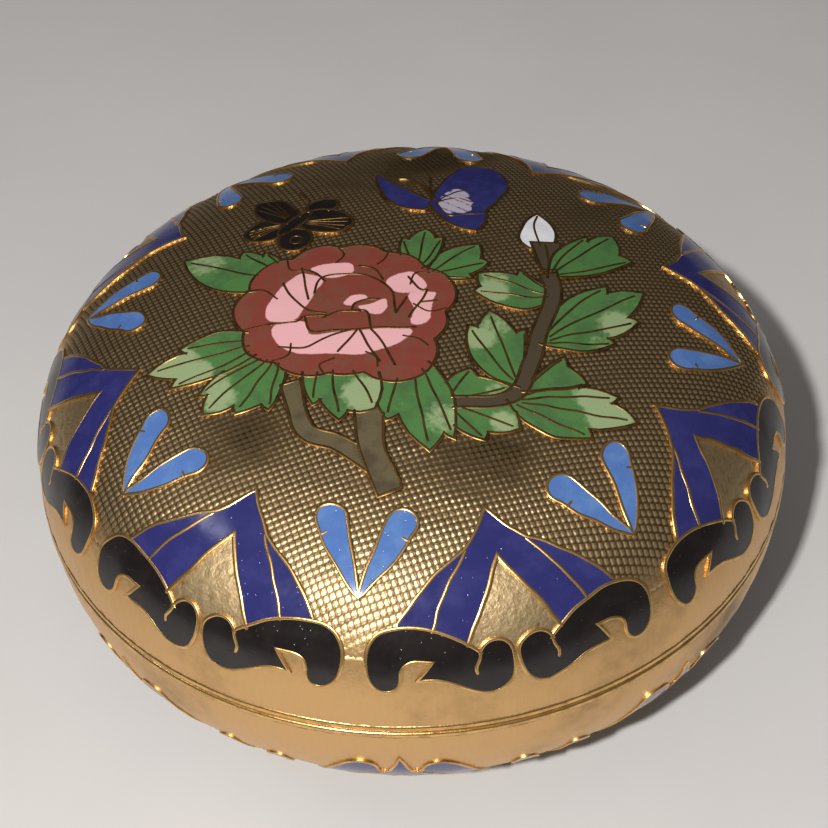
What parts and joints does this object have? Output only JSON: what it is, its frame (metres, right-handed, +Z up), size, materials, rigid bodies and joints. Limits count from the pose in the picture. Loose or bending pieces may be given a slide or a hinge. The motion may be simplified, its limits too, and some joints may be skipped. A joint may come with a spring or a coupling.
{
  "type": "lidded box",
  "caption": "Low round cloisonne box with a domed lid resting on a footed bowl, both gilt with raised enamel lappets and drops, and a flower spray and butterflies on the lid.",
  "frame": {"origin": "centre of the foot ring, on the plane of its underside", "axes": "+Z up along the box's axis; -Y towards the side that the flower spray on the lid faces; +X to its right"},
  "size_m": [0.0884, 0.0884, 0.0447],
  "materials": {
    "gilt_copper": "gilt and polished on the rims, woven relief on the ground",
    "cobalt_enamel": "glossy vitreous enamel",
    "black_enamel": "glossy vitreous enamel",
    "sky_enamel": "glossy vitreous enamel",
    "red_enamel": "glossy vitreous enamel",
    "green_enamel": "glossy vitreous enamel",
    "brown_enamel": "glossy vitreous enamel",
    "white_enamel": "glossy vitreous enamel"
  },
  "bodies": {
    "root": {"lid": "gilt_copper", "bowl": "gilt_copper", "lid_lappet_1": "cobalt_enamel", "lid_scrolls_1": "black_enamel", "lid_drops_1": "sky_enamel", "lid_lappet_2": "cobalt_enamel", "lid_scrolls_2": "black_enamel", "lid_drops_2": "sky_enamel", "lid_lappet_3": "cobalt_enamel", "lid_scrolls_3": "black_enamel", "lid_drops_3": "sky_enamel", "lid_lappet_4": "cobalt_enamel", "lid_scrolls_4": "black_enamel", "lid_drops_4": "sky_enamel", "lid_lappet_5": "cobalt_enamel", "lid_scrolls_5": "black_enamel", "lid_drops_5": "sky_enamel", "lid_lappet_6": "cobalt_enamel", "lid_scrolls_6": "black_enamel", "lid_drops_6": "sky_enamel", "lid_lappet_7": "cobalt_enamel", "lid_scrolls_7": "black_enamel", "lid_drops_7": "sky_enamel", "lid_lappet_8": "cobalt_enamel", "lid_scrolls_8": "black_enamel", "lid_drops_8": "sky_enamel", "bowl_lappet_1": "cobalt_enamel", "bowl_scrolls_1": "black_enamel", "bowl_drops_1": "sky_enamel", "bowl_lappet_2": "cobalt_enamel", "bowl_scrolls_2": "black_enamel", "bowl_drops_2": "sky_enamel", "bowl_lappet_3": "cobalt_enamel", "bowl_scrolls_3": "black_enamel", "bowl_drops_3": "sky_enamel", "bowl_lappet_4": "cobalt_enamel", "bowl_scrolls_4": "black_enamel", "bowl_drops_4": "sky_enamel", "bowl_lappet_5": "cobalt_enamel", "bowl_scrolls_5": "black_enamel", "bowl_drops_5": "sky_enamel", "bowl_lappet_6": "cobalt_enamel", "bowl_scrolls_6": "black_enamel", "bowl_drops_6": "sky_enamel", "bowl_lappet_7": "cobalt_enamel", "bowl_scrolls_7": "black_enamel", "bowl_drops_7": "sky_enamel", "bowl_lappet_8": "cobalt_enamel", "bowl_scrolls_8": "black_enamel", "bowl_drops_8": "sky_enamel", "peony": "red_enamel", "leaf_upper_left": "green_enamel", "leaves_lower_left": "green_enamel", "leaves_below": "green_enamel", "leaves_upper_right": "green_enamel", "leaves_right": "green_enamel", "branch": "brown_enamel", "bud": "white_enamel", "butterfly_dark": "black_enamel", "butterfly_blue": "cobalt_enamel"}
  },
  "joints": []
}
